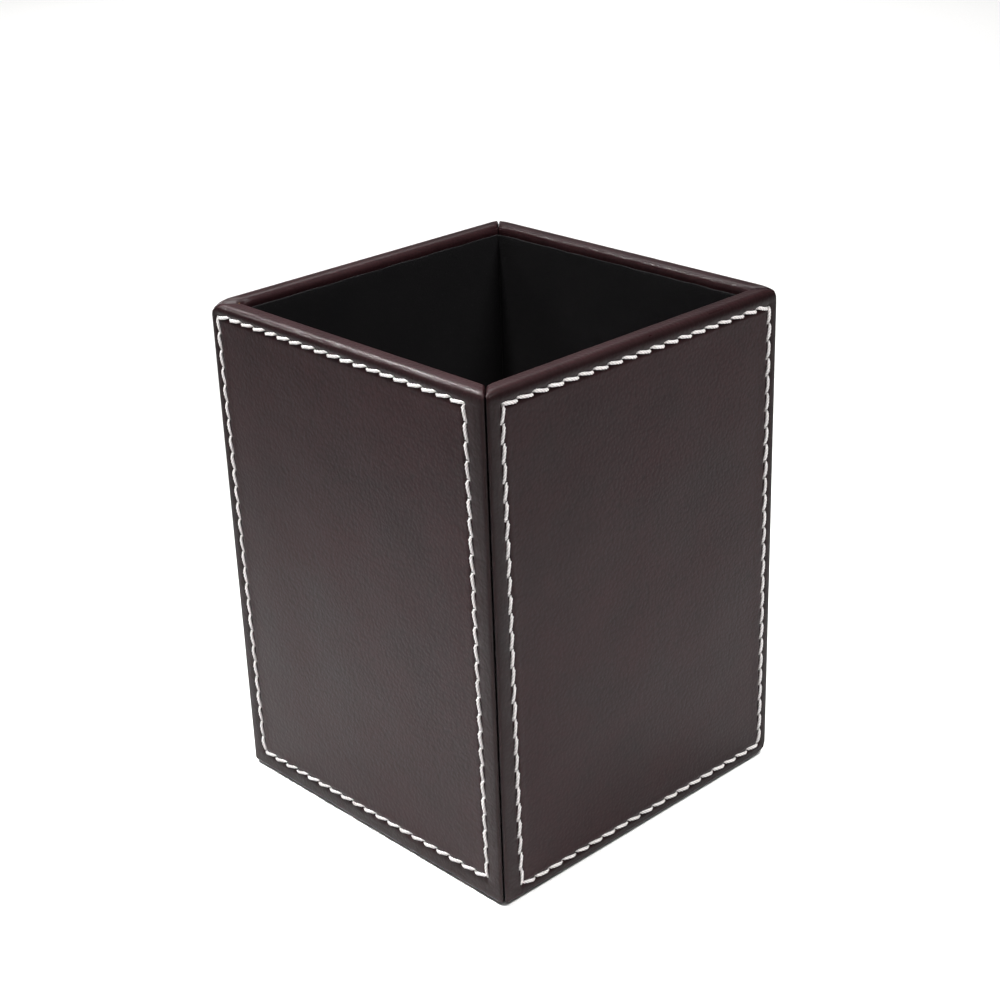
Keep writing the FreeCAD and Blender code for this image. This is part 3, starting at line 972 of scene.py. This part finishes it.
def lining_on(wall):
    low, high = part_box("front_wall_lining")
    half, thickness = -low.y, high.y - low.y
    fold = LINING_FOLD * thickness
    across = even_lines(-half, half, LINING_SPACING, fold)
    up = even_lines(low.z, high.z, LINING_SPACING, fold)
    inward = np.linspace(0, thickness, 4)
    lines, faces = block_skin(len(across), len(inward), len(up))
    x, depth, z = across[lines[:, 0]], inward[lines[:, 1]], up[lines[:, 2]]
    points, out = wrapped(x / half, depth, z, half, thickness, low.z, high.z, fold, fold, fold, fold)
    inner_side = depth / thickness
    points[:, 1] += np.abs(unevenness(wall, x, z)) * inner_side * WAVE / UNEVENNESS * WAVE_SHARE
    ragged = unevenness(wall, x * RAGGED_WAVES[0], x * RAGGED_WAVES[1])
    points[:, 2] += ragged * smooth((z - high.z + RAGGED_REACH) / RAGGED_REACH)
    return mesh_piece(wall + "_velvet", points, faces, VELVET, turn_of(wall))


for wall in WALLS:
    velvet = lining_on(wall)
    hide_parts(wall + "_wall_lining")
    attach(velvet, "root")


print("linings:", [wall + "_velvet" for wall in WALLS])

# %% [markdown]
# ## A level sheet for the floor of the well
#
# The floor's velvet and the felt underneath are both flat sheets with rounded corners, so one
# function makes them. A fine wave along the edges shows that the felt was cut.

# %% Velvet on the floor
SHEET_FOLD = 0.3
FRAY_WAVES = (1.9, 2.3)


def level_sheet(name, node, corner, spacing, waviness, material):
    """A flat sheet with rounded corners and softly rounded edges, filling a CAD sheet's box."""
    low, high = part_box(node)
    half, thickness = high.x, high.z - low.z
    fold = SHEET_FOLD * thickness
    lines = even_lines(-half, half, spacing, fold)
    levels = np.linspace(low.z, high.z, 4)
    index, faces = block_skin(len(lines), len(lines), len(levels))
    x, y, z = lines[index[:, 0]], lines[index[:, 1]], levels[index[:, 2]]
    core = half - corner
    away_x, away_y = np.maximum(np.abs(x) - core, 0), np.maximum(np.abs(y) - core, 0)
    reach = np.maximum(np.hypot(away_x, away_y), 1e-12)
    shrink = np.maximum(away_x, away_y) / reach
    x = np.sign(x) * (np.minimum(np.abs(x), core) + away_x * shrink)
    y = np.sign(y) * (np.minimum(np.abs(y), core) + away_y * shrink)
    edge = half - np.maximum(np.abs(x), np.abs(y))
    ripple = np.sin(x / MM * FRAY_WAVES[0]) * np.sin(y / MM * FRAY_WAVES[1] + 1)
    fray = 1 + waviness / half * ripple
    z = np.where(z > (low.z + high.z) / 2, z - fold * smooth(1 - edge / fold), z)
    points = np.column_stack([x * fray, y * fray, z])
    return mesh_piece(name, points, faces, material, Matrix())


floor_velvet = level_sheet("floor_velvet", "floor_lining", 0.3 * MM, 2 * MM, 0.0, VELVET)
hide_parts("floor_lining")
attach(floor_velvet, "root")
print("lining:", len(floor_velvet.data.polygons), "faces on the floor")

# %% [markdown]
# ## Felt under the cup
#
# The sheet underneath is pressed wool felt, die-cut a little smaller than the cup. Its fibres lie
# in every direction, so it is a matt near-black with lighter flecks and a slightly furred edge.

# %% Material and sheet: pressed felt
def felt_material():
    material, tree, shader, place = new_material("pressed_wool_felt")
    stretched = add(tree, "ShaderNodeMapping", {"Vector": place, "Scale": (1.0, 4.0, 1.0)})
    crossed = add(tree, "ShaderNodeMapping", {"Vector": place, "Scale": (4.0, 1.0, 1.0)})
    first = add(tree, "ShaderNodeTexNoise",
                {"Vector": stretched, "Scale": 1 / (0.9 * MM), "Detail": 4.0})
    second = add(tree, "ShaderNodeTexNoise",
                 {"Vector": crossed, "Scale": 1 / (0.9 * MM), "Detail": 4.0})
    matted = add(tree, "ShaderNodeMath", {0: first.outputs["Fac"], 1: second.outputs["Fac"]},
                 operation="MAXIMUM")
    share = add(tree, "ShaderNodeMapRange", {"Value": matted, "From Min": 0.45,
                                             "From Max": 0.75})
    tone = add(tree, "ShaderNodeMix", {"Factor": share, "A": colour("#0c0c0d"),
                                       "B": colour("#2b2a2b")}, data_type="RGBA")
    bump = add(tree, "ShaderNodeBump", {"Strength": 0.9, "Distance": 0.15 * MM,
                                        "Height": matted})
    feed(tree, shader, {"Base Color": tone.outputs["Result"], "Normal": bump, "Roughness": 0.95,
                        "Specular IOR Level": 0.2, "Sheen Weight": 0.2})
    return material


FELT = felt_material()
felt = level_sheet("felt_sheet", "base_felt", 2.5 * MM, 1.2 * MM, 0.12 * MM, FELT)
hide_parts("base_felt")
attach(felt, "root")
print("felt:", len(felt.data.polygons), "faces")

# %% [markdown]
# ## Hidden pieces
#
# The boards, cards and foam keep their CAD shapes, because those are already right: flat sheets cut
# on a guillotine. They still get true materials, for when the cup is taken apart: fibreboard is
# pressed wood dust with darker skins, grey card is recycled paper with flecks, and the
# backing foam has tiny open cells.

# %% Materials and slots of the hidden pieces
def pressed_sheet_material(name, dark, light, fibre, rough, cells=False):
    """A flat pressed sheet: speckled at the size of its fibres or cells."""
    material, tree, shader, place = new_material(name)
    if cells:
        speck = add(tree, "ShaderNodeTexVoronoi", {"Vector": place, "Scale": 1 / fibre}).outputs[0]
    else:
        speck = add(tree, "ShaderNodeTexNoise", {"Vector": place, "Scale": 1 / fibre, "Detail": 5.0,
                                                 "Roughness": 0.7}).outputs["Fac"]
    share = add(tree, "ShaderNodeMapRange", {"Value": speck, "From Min": 0.3, "From Max": 0.7})
    tone = add(tree, "ShaderNodeMix", {"Factor": share, "A": colour(dark),
                                       "B": colour(light)}, data_type="RGBA")
    bump = add(tree, "ShaderNodeBump", {"Strength": 0.5, "Distance": 0.05 * MM, "Height": speck})
    feed(tree, shader, {"Base Color": tone.outputs["Result"], "Normal": bump, "Roughness": rough})
    return material


FIBREBOARD = pressed_sheet_material(
    "medium_density_fibreboard", "#8a6a49", "#ad8a64", 0.8 * MM, 0.8)
CARD = pressed_sheet_material(
    "recycled_grey_card", "#77736c", "#a09b92", 1.2 * MM, 0.85)
FOAM = pressed_sheet_material(
    "backing_foam", "#3a3a3c", "#6f6f72", 0.4 * MM, 0.9, cells=True)

HIDDEN = {"wall_board": FIBREBOARD, "bottom_board": FIBREBOARD, "levelling_card": CARD,
          "floor_card": CARD, "base_card": CARD, "backing_pad": FOAM}
dressed = 0
for node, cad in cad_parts.items():
    for ending, material in HIDDEN.items():
        if node.endswith(ending):
            for holder in cad.material_slots:
                holder.material = material
            dressed += 1
print("dressed", dressed, "hidden pieces")

# %% [markdown]
# ## Floor and light
#
# The cup stands on a pale matt floor. Dark, half-glossy leather is seen mostly by what it mirrors, and
# from above that is the floor, so the lamps light the floor as much as the cup. A large one behind
# keeps the background white, one on the right lights what the right wall mirrors, and a small one
# with a grid makes a pool at the front wall's foot, so that wall grows lighter downwards. A narrow
# lamp from the left draws the bright line along the rounded rim, a low soft one in front brings out
# the threads, and one far off on the camera's side keeps the floor pale when the cup is seen from
# behind. The room itself is pale to look at but dim as a light, so it hardly shapes the cup.

# %% Floor and room
def floor_material():
    material, tree, shader, place = new_material("matt_paper_floor")
    fibre = add(tree, "ShaderNodeTexNoise", {"Vector": place, "Scale": 1 / (2 * MM), "Detail": 3.0})
    tone = add(tree, "ShaderNodeMix", {"Factor": fibre.outputs["Fac"], "A": colour("#f1f0ef"),
                                       "B": colour("#f8f8f7")}, data_type="RGBA")
    feed(tree, shader, {"Base Color": tone.outputs["Result"], "Roughness": 0.8,
                        "Specular IOR Level": 0.2})
    return material


FLOOR_SIZE = 6.0
reach = FLOOR_SIZE / 2
floor = mesh_piece("pale_floor", [(-reach, -reach, 0), (reach, -reach, 0), (reach, reach, 0),
                                  (-reach, reach, 0)], [(0, 1, 2, 3)], floor_material(), Matrix())


def soft_room():
    """A room that is pale to look at and dim as a light, so that the lamps shape the cup."""
    room = bpy.data.worlds.new("soft_room")
    room.use_nodes = True
    tree = room.node_tree
    tree.nodes.clear()
    dim = add(tree, "ShaderNodeBackground", {"Color": colour("#f4f5f7"), "Strength": 0.1})
    pale = add(tree, "ShaderNodeBackground", {"Color": colour("#fafafa"), "Strength": 1.0})
    seen = add(tree, "ShaderNodeLightPath").outputs["Is Camera Ray"]
    mixed = add(tree, "ShaderNodeMixShader", {0: seen, 1: dim, 2: pale})
    add(tree, "ShaderNodeOutputWorld", {"Surface": mixed})
    return room


bpy.context.scene.world = soft_room()
print("floor:", FLOOR_SIZE, "m square")

# %% [markdown]
# ### Lamps
#
# Each lamp is placed by its azimuth and elevation from the spot that it lights, its distance and its
# size. A small spread is like a grid over the lamp, which keeps its light in a pool.

# %% Lamps
def towards(azimuth, elevation):
    """The way from the cup to a lamp or a camera, from two angles in degrees."""
    a, e = math.radians(azimuth), math.radians(elevation)
    return Vector((math.sin(a) * math.cos(e), -math.cos(a) * math.cos(e), math.sin(e)))


def soft_lamp(name, direction, distance, size, power, spread, aim):
    """A square lamp, which faces the spot it aims at."""
    lamp = bpy.data.lights.new(name, "AREA")
    lamp.shape = "SQUARE"
    lamp.size = size
    lamp.energy = power
    lamp.spread = math.radians(spread)
    holder = placed(name, lamp)
    away = towards(*direction)
    holder.location = Vector(aim) + away * distance
    holder.rotation_euler = away.to_track_quat("Z", "Y").to_euler()


soft_lamp("floor_lamp", (227, 75), 1.5, 0.9, 9.5, 95, (-0.55, 0.43, 0))
soft_lamp("right_lamp", (110, 72), 0.9, 0.4, 1.8, 70, (0.15, 0.09, 0))
soft_lamp("foot_lamp", (-20, 75), 0.9, 0.15, 0.34, 25, (-0.02, -0.07, 0))
soft_lamp("rim_lamp", (-80, 45), 1.0, 0.12, 0.085, 12, (0.05, -0.04, RIM))
soft_lamp("room_lamp", (47, 80), 2.5, 1.2, 18, 80, (1.45, -1.35, 0))
soft_lamp("front_lamp", (-25, 18), 0.8, 0.3, 0.45, 180, (0, 0, MIDDLE))

print("lamps:", len(bpy.data.lights))

# %% [markdown]
# ### Camera
#
# The camera aims a little above the cup's middle and is rolled by about two degrees, as if hand-held.
# The Standard view keeps white white.

# %% Camera
AZIMUTH, ELEVATION, ROLL = 47.0, 23.7, -2.05
CAMERA_DISTANCE = 3.735 * RIM
AIM_HEIGHT = 0.58 * RIM
camera_data = bpy.data.cameras.new("camera")
camera_data.lens = 68.75
camera_data.sensor_width = 36.0
camera = placed("camera", camera_data)
away = towards(AZIMUTH, ELEVATION)
camera.location = Vector((0, 0, AIM_HEIGHT)) + away * CAMERA_DISTANCE
camera.rotation_mode = "QUATERNION"
level = away.to_track_quat("Z", "Y")
camera.rotation_quaternion = level @ Matrix.Rotation(math.radians(ROLL), 3, "Z").to_quaternion()
bpy.context.scene.camera = camera
bpy.context.scene.view_settings.view_transform = "Standard"
print("camera at", [round(value, 3) for value in camera.location])
